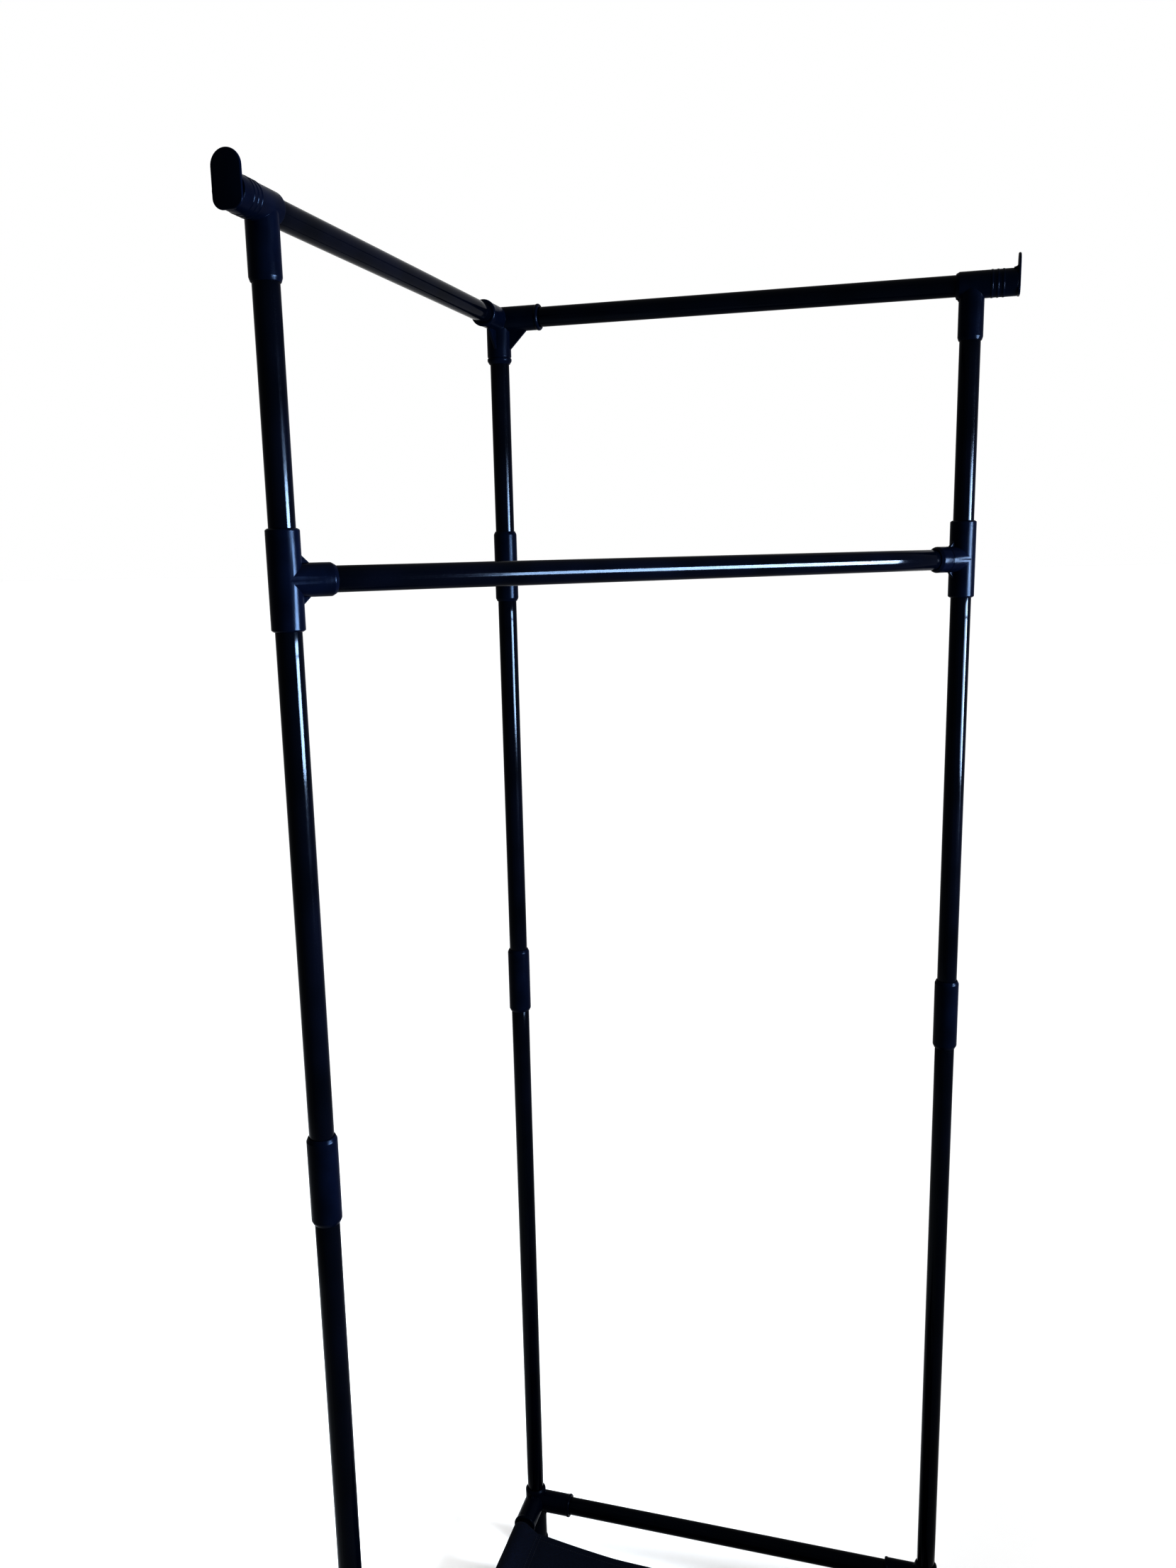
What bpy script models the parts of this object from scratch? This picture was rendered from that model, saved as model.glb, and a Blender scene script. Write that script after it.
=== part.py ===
"""Corner garment rail.

Three tall posts of push-fit steel tube stand on a square base. Two hanging
rails meet at right angles over the back-left corner post, a diagonal bar
braces the two outer posts, and a sheet of non-woven fabric forms a low shelf.
The front corner of the base has a foot but no post.

Everything is in metres, +Z up. Rails run along X and Y. The corner post is at
the back left; the right post lies along +X from it, the left post along -Y.
"""
import math

import bmesh
import bpy
from mathutils import Quaternion, Vector

# Tubes
TUBE_R = 0.0110            # outside radius of every tube
TUBE_WALL = 0.0009
SEGMENTS = 20              # facets round a tube or a sleeve

# Moulded sleeves that take the tubes
FIT = 0.0003               # radial gap between tube and socket
SLEEVE_R = 0.0139          # outside radius of a sleeve
COUPLER_R = 0.0136         # the same, for a straight coupler
END_LEG_R = 0.0131         # the same, for an end connector's post leg
MOUTH = 0.0011             # width of the flat lip round a chamfered mouth
CHAMFER = 0.0036           # length of the chamfer at a mouth
TEE_CHAMFER = 0.0020       # the same, at the two ends of a tee
RIM_R = 0.0146             # outside radius of the bead at a leg's mouth
STOP = 0.0138              # distance from a node's centre to a socket's floor
END_GAP = 0.0005           # gap between a tube's end and the socket's floor
STOP_WALL = 0.0030         # thickness of the wall between two sockets in line
WEB = 0.0032               # thickness of the stiffening webs
EMBED = 0.0015             # how far a web runs into the sleeve's wall

# Frame
ARM = 0.5300               # post axis to post axis along a rail
BASE_Z = 0.0740            # axis height of the base rails
TOP_Z = 1.6540             # axis height of the hanging rails
TEE_DROP = 0.2840          # hanging rail axis down to the cross bar axis
COUPLER_DROP = 0.8100      # hanging rail axis down to the lower couplers' middle
COUPLER_LEN = 0.0830

# Connectors
RAIL_LEG = 0.0515          # length of a corner connector's rail leg
DOWN_LEG = 0.0560          # length of a leg that takes a post from above
BASE_UP = 0.0210           # collar of a base connector above its rail axis
CORNER_DOWN = 0.0500       # the same, on the top corner connector
CORNER_WEB = 0.0355        # reach of the top corner connector's webs
BRANCH_LEG = 0.0415        # length of a tee's side branch
END_INNER = 0.0165         # end connector sleeve, from the post axis inwards
END_OUTER = 0.0455         # the same, outwards to the face of the end plate
PLATE_T = 0.0026           # thickness of the upright end plate
PLATE_W = 0.0250
PLATE_TOP = 0.0288         # top of the plate above the rail axis
FILLET = 0.0033            # height of the fillet where the sleeve meets the plate
GRIP_R = 0.0143            # outside radius of the grip ribs
GRIP_RIBS = (0.0200, 0.0257, 0.0314)   # rib centres outwards from the post axis

# Feet and plug
FOOT_R = 0.0152
FOOT_H = 0.0180            # height of the foot below the connector
SPIGOT = 0.0130            # length of a foot or plug inside its socket

# Fabric shelf
CLOTH_T = 0.0016
CLOTH_SAG = 0.0130         # drop at mid span
CLOTH_END = 0.0580         # rail's post axis to the shelf's free edge

# The origin is at the middle of the overall outline, on the floor.
SHIFT = (END_OUTER + PLATE_T - FOOT_R) / 2
LEFT_X = -ARM / 2 - SHIFT
RIGHT_X = ARM / 2 - SHIFT
BACK_Y = ARM / 2 + SHIFT
FRONT_Y = -ARM / 2 + SHIFT
POSTS = {
    "corner": Vector((LEFT_X, BACK_Y, 0)),
    "left": Vector((LEFT_X, FRONT_Y, 0)),
    "right": Vector((RIGHT_X, BACK_Y, 0)),
    "front": Vector((RIGHT_X, FRONT_Y, 0)),
}
X = Vector((1, 0, 0))
Y = Vector((0, 1, 0))
Z = Vector((0, 0, 1))

COLOURS = {
    "black_enamel": ((0.012, 0.013, 0.018), 0.22, 0.0),
    "black_moulding": ((0.016, 0.018, 0.026), 0.42, 0.0),
    "foot_plastic": ((0.020, 0.020, 0.022), 0.60, 0.0),
    "shelf_cloth": ((0.010, 0.013, 0.028), 0.90, 0.0),
}


def clear_scene():
    for obj in list(bpy.data.objects):
        bpy.data.objects.remove(obj, do_unlink=True)


def new_collection(name):
    coll = bpy.data.collections.new(name)
    bpy.context.scene.collection.children.link(coll)
    return coll


def material(node, slot):
    """One material per node, named after its slot and its node."""
    colour, rough, metal = COLOURS[slot]
    mat = bpy.data.materials.new(slot + "." + node)
    mat.use_nodes = True
    shader = mat.node_tree.nodes["Principled BSDF"]
    shader.inputs["Base Color"].default_value = (*colour, 1)
    shader.inputs["Roughness"].default_value = rough
    shader.inputs["Metallic"].default_value = metal
    mat.diffuse_color = (*colour, 1)
    return mat


def finish(obj, slot):
    """Put a modelled piece in the object's collection with its material."""
    CUTTERS.objects.unlink(obj)
    PARTS.objects.link(obj)
    obj.hide_render = False
    obj.display_type = "TEXTURED"
    obj.data.materials.append(material(obj.name, slot))
    return obj


def tool(name, mesh):
    """A helper solid, kept in the cutters' collection."""
    obj = bpy.data.objects.new(name, mesh)
    obj.hide_render = True
    obj.display_type = "WIRE"
    CUTTERS.objects.link(obj)
    return obj


def turned(name, profile, at, along, closed=False, roll=0.0):
    """Turn a profile of (radius, distance) pairs about an axis.

    The profile runs down its outer side, from the far end to the near end. A
    closed profile is a ring section; an open one starts and ends on the axis.
    Legs that meet are rolled by different parts of a facet, so that no two
    facets coincide.
    """
    mesh = bpy.data.meshes.new(name)
    verts = [(r, 0, s) for r, s in profile]
    edges = [(i, i + 1) for i in range(len(verts) - 1)]
    if closed:
        edges.append((len(verts) - 1, 0))
    mesh.from_pydata(verts, edges, [])
    obj = tool(name, mesh)
    obj.location = at
    spin = Quaternion(Z, roll * 2 * math.pi / SEGMENTS)
    obj.rotation_euler = (along.to_track_quat("Z", "Y") @ spin).to_euler()
    screw = obj.modifiers.new("turn", "SCREW")
    screw.axis = "Z"
    screw.steps = SEGMENTS
    screw.render_steps = SEGMENTS
    screw.use_merge_vertices = True
    screw.merge_threshold = 0.00001
    screw.use_smooth_shade = True
    return obj


def plate(name, outline, at, across, up, thickness):
    """Extrude a flat outline of (across, up) pairs, centred on its plane."""
    normal = across.cross(up)
    bm = bmesh.new()
    verts = [bm.verts.new(at + across * a + up * b - normal * thickness / 2) for a, b in outline]
    face = bm.faces.new(verts)
    grown = bmesh.ops.extrude_face_region(bm, geom=[face])
    moved = [v for v in grown["geom"] if isinstance(v, bmesh.types.BMVert)]
    bmesh.ops.translate(bm, vec=normal * thickness, verts=moved)
    bmesh.ops.recalc_face_normals(bm, faces=bm.faces)
    mesh = bpy.data.meshes.new(name)
    bm.to_mesh(mesh)
    bm.free()
    return tool(name, mesh)


def web(name, at, leg_a, leg_b, reach, curved):
    """Stiffening web in the corner between two legs at right angles."""
    root = SLEEVE_R - EMBED
    outline = [(root, root), (reach, root)]
    if curved:
        radius = reach - SLEEVE_R + EMBED / 4
        for i in range(5):
            turn = math.radians(22.5 * i)
            outline.append((reach - radius * math.sin(turn), reach - radius * math.cos(turn)))
    outline.append((root, reach))
    return plate(name, outline, at, leg_a, leg_b, WEB)


def leg_profile(length, mouth, radius=SLEEVE_R, start=0.0):
    """Outside of a leg from its mouth back to the node's centre."""
    if mouth == "bead":
        tip = [
            (radius - 0.0006, length),
            (RIM_R, length - 0.0010),
            (RIM_R, length - 0.0030),
            (radius, length - 0.0042),
        ]
    elif mouth == "groove":
        tip = [
            (TUBE_R + MOUTH, length),
            (radius + 0.0002, length - CHAMFER),
            (radius + 0.0002, length - 0.0062),
            (radius - 0.0007, length - 0.0068),
            (radius - 0.0007, length - 0.0076),
            (radius, length - 0.0082),
        ]
    else:
        tip = [(TUBE_R + MOUTH, length), (radius, length - CHAMFER)]
    return [(0, length)] + tip + [(radius, start), (0, start)]


def bore(name, at, along, near, far):
    """Socket for a tube, between two distances along its axis."""
    radius = TUBE_R + FIT
    profile = [(0, far), (radius, far), (radius, near), (0, near)]
    return turned(name, profile, at, along)


def build(name, solids, bores, slot="black_moulding"):
    """Join the solids into the first one, cut the bores, and file the piece."""
    body = solids[0]
    body.name = name
    for i, other in enumerate(solids[1:] + bores):
        step = body.modifiers.new("step_%02d" % i, "BOOLEAN")
        step.object = other
        step.solver = "EXACT"
        step.operation = "UNION" if i < len(solids) - 1 else "DIFFERENCE"
    return finish(body, slot)


def tube(name, start, end):
    """Open-ended steel tube between two points."""
    along = (end - start).normalized()
    length = (end - start).length
    inner = TUBE_R - TUBE_WALL
    profile = [(TUBE_R, length), (TUBE_R, 0), (inner, 0), (inner, length)]
    return finish(turned(name, profile, start, along, closed=True), "black_enamel")


def straight_sleeve(name, at, radius, chamfer, roll=0.0):
    """Outside of an upright sleeve, chamfered at both ends."""
    half = COUPLER_LEN / 2
    lip = TUBE_R + MOUTH
    profile = [(0, half), (lip, half), (radius, half - chamfer)]
    profile += [(radius, chamfer - half), (lip, -half), (0, -half)]
    return turned(name, profile, at, Z, roll=roll)


def straight_sockets(name, at):
    """The two sockets of an upright sleeve, with a wall between them."""
    near = STOP_WALL / 2
    far = COUPLER_LEN / 2 + 0.002
    return [bore(name + ".up", at, Z, near, far), bore(name + ".down", at, -Z, near, far)]


def coupler(name, at):
    """Straight sleeve that joins two tubes of a post."""
    body = straight_sleeve(name, at, COUPLER_R, CHAMFER)
    return build(name, [body], straight_sockets(name, at))


def tee(name, at, branch):
    """Coupler with a side branch for the cross bar and a web on each side of it."""
    solids = [straight_sleeve(name, at, SLEEVE_R, TEE_CHAMFER, roll=0.25)]
    solids.append(turned(name + ".branch", leg_profile(BRANCH_LEG, "plain"), at, branch))
    reach = SLEEVE_R + 0.0075
    solids.append(web(name + ".web_up", at, branch, Z, reach, False))
    solids.append(web(name + ".web_down", at, branch, -Z, reach, False))
    sockets = straight_sockets(name, at)
    sockets.append(bore(name + ".side", at, branch, STOP, BRANCH_LEG + 0.002))
    return build(name, solids, sockets)


def top_corner(name, at):
    """Three-way corner with a large flat web under each rail leg."""
    down = leg_profile(CORNER_DOWN, "groove")[:-2]
    down += [(SLEEVE_R, -0.0060), (0.0100, -0.0112), (0, -0.0112)]
    solids = [turned(name, down, at, -Z)]
    sockets = [bore(name + ".down_bore", at, -Z, STOP, CORNER_DOWN + 0.002)]
    for label, along, roll in (("right", X, 0.25), ("left", -Y, 0.5)):
        profile = leg_profile(RAIL_LEG, "bead")
        solids.append(turned(name + "." + label, profile, at, along, roll=roll))
        solids.append(web(name + ".web_" + label, at, along, -Z, CORNER_WEB, False))
        sockets.append(bore(name + ".bore_" + label, at, along, STOP, RAIL_LEG + 0.002))
    return build(name, solids, sockets)


def end_connector(name, at, out):
    """Socket closed by an upright end plate, on a leg that takes the post."""
    profile = [(0, END_OUTER), (SLEEVE_R, END_OUTER)]
    for centre in reversed(GRIP_RIBS):
        profile.append((SLEEVE_R, centre + 0.0013))
        profile.append((GRIP_R, centre + 0.0005))
        profile.append((GRIP_R, centre - 0.0005))
        profile.append((SLEEVE_R, centre - 0.0013))
    profile.append((SLEEVE_R, CHAMFER - END_INNER))
    profile.append((TUBE_R + MOUTH, -END_INNER))
    profile.append((0, -END_INNER))
    solids = [turned(name, profile, at, out)]
    down = leg_profile(DOWN_LEG, "plain", END_LEG_R)
    solids.append(turned(name + ".down", down, at, -Z, roll=0.25))
    side = out.cross(Z)
    half = PLATE_W / 2
    corner = 0.0085
    outline = []
    for i in range(9):
        turn = math.radians(22.5 * i)
        outline.append((half * math.cos(turn), PLATE_TOP - half + half * math.sin(turn)))
    for cx, start in ((corner - half, 180), (half - corner, 270)):
        for i in range(5):
            turn = math.radians(start + 22.5 * i)
            across = cx + corner * math.cos(turn)
            outline.append((across, corner - SLEEVE_R + corner * math.sin(turn)))
    centre = at + out * (END_OUTER + PLATE_T / 2 - 0.0001)
    solids.append(plate(name + ".plate", outline, centre, side, Z, PLATE_T + 0.0002))
    solids.append(web(name + ".web_in", at, -out, -Z, SLEEVE_R + 0.0020, True))
    foot_of = END_OUTER - 0.0040
    fillet = [(foot_of, SLEEVE_R - EMBED), (foot_of, SLEEVE_R), (0.0443, SLEEVE_R + 0.0009)]
    fillet += [(END_OUTER, SLEEVE_R + FILLET), (END_OUTER + 0.001, SLEEVE_R + FILLET)]
    fillet += [(END_OUTER + 0.001, SLEEVE_R - EMBED)]
    solids.append(plate(name + ".fillet", fillet, at, out, Z, 0.0120))
    sockets = [bore(name + ".rail_bore", at, out, -END_INNER - 0.002, END_OUTER - 0.0050)]
    sockets.append(bore(name + ".post_bore", at, -Z, STOP, DOWN_LEG + 0.002))
    return build(name, solids, sockets)


def base_connector(name, at, legs):
    """Four-way corner: post from above, foot from below, two base rails."""
    lip = TUBE_R + MOUTH
    profile = [(0, BASE_UP), (lip, BASE_UP), (SLEEVE_R, BASE_UP - 0.0030)]
    profile += [(SLEEVE_R, 0.0010 - DOWN_LEG), (SLEEVE_R - 0.0010, -DOWN_LEG), (0, -DOWN_LEG)]
    solids = [turned(name, profile, at, Z)]
    floor = 0.0400
    sockets = [bore(name + ".post_bore", at, Z, -floor, BASE_UP + 0.002)]
    sockets.append(bore(name + ".foot_bore", at, -Z, floor + STOP_WALL, DOWN_LEG + 0.002))
    for i, along in enumerate(legs):
        tag = "%s.%d" % (name, i)
        profile = leg_profile(RAIL_LEG, "bead")
        solids.append(turned(tag, profile, at, along, roll=0.25 * (i + 1)))
        solids.append(web(tag + ".web_down", at, along, -Z, SLEEVE_R + 0.0110, True))
        solids.append(web(tag + ".web_up", at, along, Z, SLEEVE_R + 0.0050, True))
        sockets.append(bore(tag + ".bore", at, along, STOP, RAIL_LEG + 0.002))
    return build(name, solids, sockets)


def foot(name, at):
    """Stepped foot: a plug in the connector's socket above a flat tread."""
    top = FOOT_H - FIT
    profile = [
        (0, top + SPIGOT),
        (TUBE_R - 0.0012, top + SPIGOT),
        (TUBE_R, top + SPIGOT - 0.0015),
        (TUBE_R, top),
        (SLEEVE_R, top),
        (FOOT_R, top - 0.0050),
        (FOOT_R, 0.0020),
        (FOOT_R - 0.0016, 0),
        (0, 0),
    ]
    return finish(turned(name, profile, at, Z), "foot_plastic")


def plug(name, at):
    """Domed plug that closes the socket where the base has no post."""
    profile = [
        (0, 0.0042),
        (0.0062, 0.0037),
        (0.0104, 0.0022),
        (0.0126, FIT),
        (TUBE_R, FIT),
        (TUBE_R, -SPIGOT),
        (0, -SPIGOT),
    ]
    return finish(turned(name, profile, at, Z), "foot_plastic")


def shelf(name):
    """Fabric panel with a sleeve at each end for the rails it hangs from."""
    span = RIGHT_X - LEFT_X
    depth = BACK_Y - FRONT_Y - 2 * CLOTH_END
    middle = Vector(((LEFT_X + RIGHT_X) / 2, (BACK_Y + FRONT_Y) / 2, BASE_Z))
    stations = 16
    upper = []
    for i in range(stations + 1):
        across = span * (i / stations - 0.5)
        drop = CLOTH_SAG * (1 - (2 * across / span) ** 2)
        upper.append((across, CLOTH_T / 2 - drop))
    lower = [(across, up - CLOTH_T) for across, up in reversed(upper)]
    panel = plate(name, upper + lower, middle, X, Z, depth)
    solids = [panel]
    sockets = []
    radius = TUBE_R + FIT + CLOTH_T
    for label, x in (("left", LEFT_X), ("right", RIGHT_X)):
        start = Vector((x, FRONT_Y + CLOTH_END, BASE_Z))
        profile = [(0, depth), (radius, depth), (radius, 0), (0, 0)]
        solids.append(turned(name + ".sleeve_" + label, profile, start, Y))
        sockets.append(bore(name + ".rail_" + label, start, Y, -0.002, depth + 0.002))
    return build(name, solids, sockets, "shelf_cloth")


def main():
    clear_scene()
    rest = STOP + END_GAP
    wall = STOP_WALL / 2 + END_GAP
    top = Z * TOP_Z
    base = Z * BASE_Z
    joint = {label: Z * (TOP_Z - TEE_DROP) for label in POSTS}
    lower = Z * (TOP_Z - COUPLER_DROP)

    # Posts, each of three tubes
    for label in ("corner", "left", "right"):
        at = POSTS[label]
        tee_at = at + joint[label]
        low_at = at + lower
        tube("post_upper_" + label, tee_at + Z * wall, at + top - Z * rest)
        tube("post_middle_" + label, low_at + Z * wall, tee_at - Z * wall)
        tube("post_lower_" + label, at + base - Z * (0.0400 - END_GAP), low_at - Z * wall)
        coupler("lower_coupler_" + label, low_at)

    # Joints at cross bar height, and the bar
    brace = (POSTS["right"] - POSTS["left"]).normalized()
    left_tee = POSTS["left"] + joint["left"]
    right_tee = POSTS["right"] + joint["right"]
    tee("tee_left", left_tee, brace)
    tee("tee_right", right_tee, -brace)
    coupler("upper_coupler_corner", POSTS["corner"] + joint["corner"])
    tube("cross_bar", left_tee + brace * rest, right_tee - brace * rest)

    # Hanging rails and their connectors
    top_corner("top_connector_corner", POSTS["corner"] + top)
    reach = END_OUTER - 0.0050 - END_GAP
    for label, out in (("right", X), ("left", -Y)):
        end = POSTS[label] + top
        end_connector("end_connector_" + label, end, out)
        tube("hanging_rail_" + label, POSTS["corner"] + top + out * rest, end + out * reach)

    # Base
    corners = {
        "corner": (X, -Y),
        "left": (X, Y),
        "right": (-X, -Y),
        "front": (-X, Y),
    }
    for label, legs in corners.items():
        base_connector("base_connector_" + label, POSTS[label] + base, legs)
        foot("foot_" + label, POSTS[label])
    plug("socket_plug_front", POSTS["front"] + base + Z * BASE_UP)
    rails = {
        "back": ("corner", "right", X),
        "left": ("left", "corner", Y),
        "right": ("front", "right", Y),
        "front": ("left", "front", X),
    }
    for label, (start, end, along) in rails.items():
        first = POSTS[start] + base + along * rest
        last = POSTS[end] + base - along * rest
        tube("base_rail_" + label, first, last)
    shelf("shelf_fabric")


PARTS = None
CUTTERS = None
clear_scene()
PARTS = new_collection("corner_garment_rail")
CUTTERS = new_collection("cutters")
CUTTERS.hide_render = True
main()
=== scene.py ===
"""Corner garment rail: the visual model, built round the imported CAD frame."""
import math

import bmesh
import bpy
from mathutils import Euler, Matrix, Quaternion, Vector, noise


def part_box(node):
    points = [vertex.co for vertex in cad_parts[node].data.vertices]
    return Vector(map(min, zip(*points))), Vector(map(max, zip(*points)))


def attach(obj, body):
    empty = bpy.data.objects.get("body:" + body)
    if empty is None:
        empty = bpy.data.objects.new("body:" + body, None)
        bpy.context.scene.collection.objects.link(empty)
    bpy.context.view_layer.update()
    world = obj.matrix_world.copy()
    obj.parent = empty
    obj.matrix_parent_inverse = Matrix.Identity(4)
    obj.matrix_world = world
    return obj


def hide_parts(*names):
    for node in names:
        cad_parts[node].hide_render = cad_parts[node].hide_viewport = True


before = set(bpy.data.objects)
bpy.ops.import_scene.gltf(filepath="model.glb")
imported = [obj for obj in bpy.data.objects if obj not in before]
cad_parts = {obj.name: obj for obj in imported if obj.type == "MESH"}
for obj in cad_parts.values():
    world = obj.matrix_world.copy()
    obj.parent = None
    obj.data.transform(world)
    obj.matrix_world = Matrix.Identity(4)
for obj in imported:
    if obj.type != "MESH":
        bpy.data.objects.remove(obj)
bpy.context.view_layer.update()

X = Vector((1, 0, 0))
Y = Vector((0, 1, 0))
Z = Vector((0, 0, 1))

# Sizes in metres. A leg's length runs from the axis it leaves to its mouth. Where each
# piece stands, and how long each tube is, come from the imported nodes' boxes.
TUBE_R = 0.0110
TUBE_WALL = 0.0009
TUBE_EASE = 0.0003         # softened edge at each end of a tube
FIT = 0.0003               # play between a tube and its socket
OVERSHOOT = 0.0020         # how far a socket's cutter runs past the mouth
SLEEVE_R = 0.0139          # outside of most legs
COUPLER_R = 0.0136
END_LEG_R = 0.0131         # the post's leg on an end connector
RIM_R = 0.0146             # the bead at the mouth of a rail leg
GRIP_R = 0.0143            # over the grip ribs of an end connector
LIP = 0.0009               # width of the flat lip round a chamfered mouth
CHAMFER = 0.0036
TEE_CHAMFER = 0.0014
BASE_CHAMFER = 0.0030
STOP = 0.0138              # where a tube stops inside its leg
STOP_WALL = 0.0030         # wall between two tubes that meet end to end
WEB = 0.0032               # thickness of a web
EMBED = 0.0015             # how far a web sinks into its sleeves
TEE_WEB = 0.0075           # reach of each web past the sleeve
END_WEB = 0.0020
BASE_WEB_DOWN = 0.0110
BASE_WEB_UP = 0.0050
CORNER_WEB = 0.0355        # reach of the top corner's webs from the axis
RAIL_LEG = 0.0515
DOWN_LEG = 0.0560
CORNER_DOWN = 0.0500
BRANCH_LEG = 0.0415
COUPLER_HALF = 0.0415
BASE_UP = 0.0210           # collar above the base rails' axis
BASE_FLOOR = 0.0400        # floor of the post's socket, below that axis
END_INNER = 0.0165         # end connector, towards its rail
END_OUTER = 0.0455         # end connector, out to its plate
PLATE_T = 0.0026
PLATE_W = 0.0250
PLATE_TOP = 0.0288         # top of the end plate, above the rail's axis
PLATE_CORNER = 0.0085
PLATE_EDGE = 0.0011
FILLET = 0.0036            # rise of the fillet where the grip meets its plate
FILLET_FOOT = END_OUTER - 0.0042
FILLET_W = 0.0150
GRIP_RIBS = (0.0200, 0.0257, 0.0314)
FOOT_R = 0.0152
FOOT_H = 0.0180
SPIGOT = 0.0130            # plug of a foot or cap inside its socket
FINE = 0.0004              # rounding of a finely detailed profile
ROUND_STEPS = 56           # facets round a moulding
TUBE_STEPS = 64            # facets round a tube
TUBE_SPANS = 8             # lengthwise divisions of a tube
CORNER_STEPS = 5           # segments in each rounded corner of a profile
MOULD_SHARP = math.radians(16)
EDGE_SHARP = math.radians(50)

CLOTH_T = 0.0010
CLOTH_SAG = 0.0125
SEAM_OUT = 0.0215          # rail axis to the stitched seam of a shelf sleeve
SEAM_LAP = 0.0072          # flap beyond each seam, under the panel
LAYER = 0.0011             # between two layers of a seam
SLEEVE_COLUMNS = 22        # divisions of the cloth round a rail
PANEL_COLUMNS = 92
PANEL_ROWS = 64            # divisions between the hems
HEM_ROWS = (0.0, 0.003, 0.006, 0.009, 0.012)
HEM_STITCH = 3             # the hem row that is sewn
STITCH_R = 0.00030
STITCH_PITCH = 0.0034
STITCH_GAP = 0.0009
STITCH_LIFT = 0.0005       # stitch line above the middle of the cloth
UNDER_HEM = 0.0018         # the same below it, under a hem
UNDER_SEAM = 0.0017        # and under a sleeve's seam
SETTLE_FRAMES = 20
SETTLE_CAP = 0.008         # the most that settling may move a point
SETTLE = {"quality": 6, "mass": 0.12, "tension_stiffness": 60,
          "compression_stiffness": 60, "shear_stiffness": 30,
          "bending_stiffness": 3, "air_damping": 3}

# The studio: lamps in watts, angles in degrees.
GAMMA = 0.66
FLOOR_SIZE = 120.0
FLOOR_DROP = 0.0005        # the floor lies this far under the feet
SUN_STRENGTH = 0.4
SUN_WIDTH = 70
SUN_TILT = (12, 10)
WINDOW_AT = (1.52, -0.25)
WINDOW_WIDE = 0.93
WINDOW_PANES = (("window_upper", 1.425, 0.25), ("window_lower", 1.075, 0.37))
WINDOW_POWER = 250         # for each metre of a pane's height
WINDOW_COLOUR = (0.84, 0.92, 1.0)
WINDOW_SPREAD = 80
CAMERA_AT = (0.2348, -1.1588, 1.3930)
CAMERA_TURN = (79.105, 1.152, 15.982)
CAMERA_LENS = 28.455
SENSOR = 36.0


def placed(name, data, at=(0, 0, 0)):
    """A new object in the scene that holds this data."""
    obj = bpy.data.objects.new(name, data)
    obj.location = at
    bpy.context.scene.collection.objects.link(obj)
    return obj


def box_of(name):
    """The two corners of a CAD node's box."""
    low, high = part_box(name)
    return Vector(low), Vector(high)


def middle(name):
    """The centre of a CAD node's box."""
    low, high = box_of(name)
    return (low + high) / 2


def arc(first, step, count):
    """Angles in radians, evenly spaced, from degrees."""
    return [math.radians(first + step * i) for i in range(count)]


# ---------------------------------------------------------------- materials

def feed(tree, socket, value):
    """Link a socket to another one, or set its own number or colour."""
    if isinstance(value, bpy.types.NodeSocket):
        tree.links.new(value, socket)
    else:
        socket.default_value = (*value, 1) if socket.type == "RGBA" else value


def node(tree, kind, **sockets):
    """A shader node with its named inputs set or linked."""
    made = tree.nodes.new(kind)
    for key, value in sockets.items():
        feed(tree, made.inputs[key.replace("_", " ")], value)
    return made


def math_node(tree, operation, first, second=0.0):
    """The result of a sum or other operation on numbers or sockets."""
    made = tree.nodes.new("ShaderNodeMath")
    made.operation = operation
    feed(tree, made.inputs[0], first)
    feed(tree, made.inputs[1], second)
    return made.outputs[0]


def new_material(name):
    """An empty material, its node tree and its shader."""
    mat = bpy.data.materials.new(name)
    mat.use_nodes = True
    return mat, mat.node_tree, mat.node_tree.nodes["Principled BSDF"]


def noise_of(tree, coords, scale, detail=3.0, stretch=(1, 1, 1)):
    """Noise value over the given coordinates, with an optional stretch."""
    mapping = node(tree, "ShaderNodeMapping", Vector=coords, Scale=stretch)
    made = node(tree, "ShaderNodeTexNoise", Vector=mapping.outputs[0], Scale=scale,
                Detail=detail)
    return made.outputs[0]


def ramp(tree, value, low, high, dark, light):
    """Map a value between low and high to a range of numbers."""
    made = node(tree, "ShaderNodeMapRange", Value=value, From_Min=low, From_Max=high,
                To_Min=dark, To_Max=light)
    return made.outputs[0]


def mix_colours(tree, factor, first, second):
    """A blend of two colours or colour sockets."""
    made = tree.nodes.new("ShaderNodeMix")
    made.data_type = "RGBA"
    tree.links.new(factor, made.inputs[0])
    feed(tree, made.inputs[6], first)
    feed(tree, made.inputs[7], second)
    return made.outputs[2]


def surface(tree, shader, colour, rough, **uniform):
    """Give the shader its colour and roughness, and what is the same all over."""
    tree.links.new(colour, shader.inputs["Base Color"])
    feed(tree, shader.inputs["Roughness"], rough)
    for key, value in uniform.items():
        feed(tree, shader.inputs[key.replace("_", " ")], value)


def bumps(tree, shader, layers, rounding=0.0):
    """Chain of bump layers, each (height, strength, distance), into the normal."""
    normal = None
    if rounding:
        edge = node(tree, "ShaderNodeBevel", Radius=rounding)
        edge.samples = 6
        normal = edge.outputs[0]
    for height, strength, distance in layers:
        bump = node(tree, "ShaderNodeBump", Height=height, Strength=strength,
                    Distance=distance)
        if normal:
            tree.links.new(normal, bump.inputs["Normal"])
        normal = bump.outputs[0]
    tree.links.new(normal, shader.inputs["Normal"])


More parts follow.
